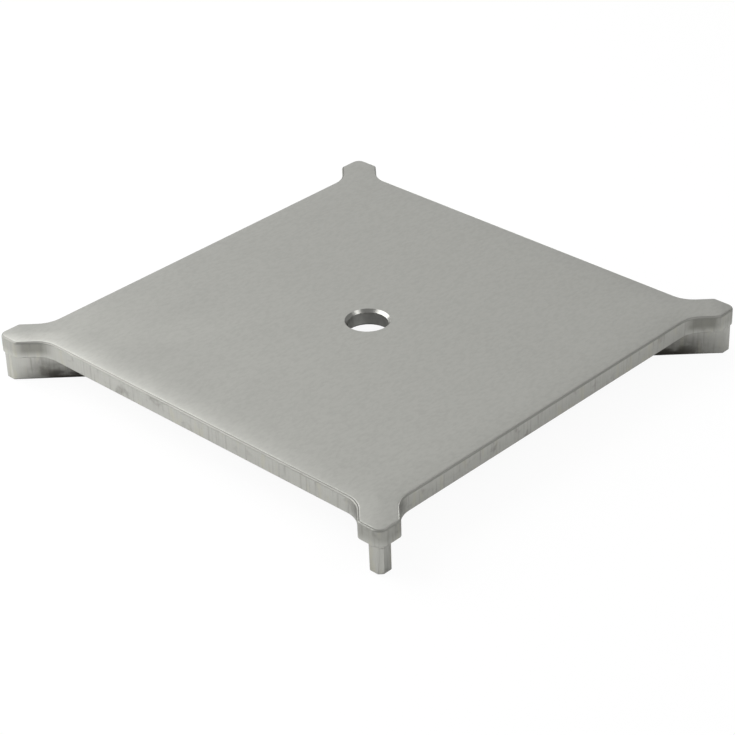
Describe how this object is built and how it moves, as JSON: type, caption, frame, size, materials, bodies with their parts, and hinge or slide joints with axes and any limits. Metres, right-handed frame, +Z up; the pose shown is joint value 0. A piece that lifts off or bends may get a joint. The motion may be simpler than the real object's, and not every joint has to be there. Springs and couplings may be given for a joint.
{
  "type": "floor gully cover plate",
  "caption": "Square stainless cover plate with relieved sides, corner ears on diagonal ribs and a central lifting hole, for a floor gully frame.",
  "frame": {"origin": "centre of the square footprint, at the level of the rib feet, on the lifting hole's axis", "axes": "+Z up out of the flat top face; X and Y along the plate's sides, the ears on the diagonals"},
  "size_m": [0.142, 0.142, 0.0133],
  "materials": {
    "stainless_steel": "satin, fine blasted and brushed, with rounded edges"
  },
  "bodies": {
    "root": {"cover_plate": "stainless_steel"}
  },
  "joints": []
}
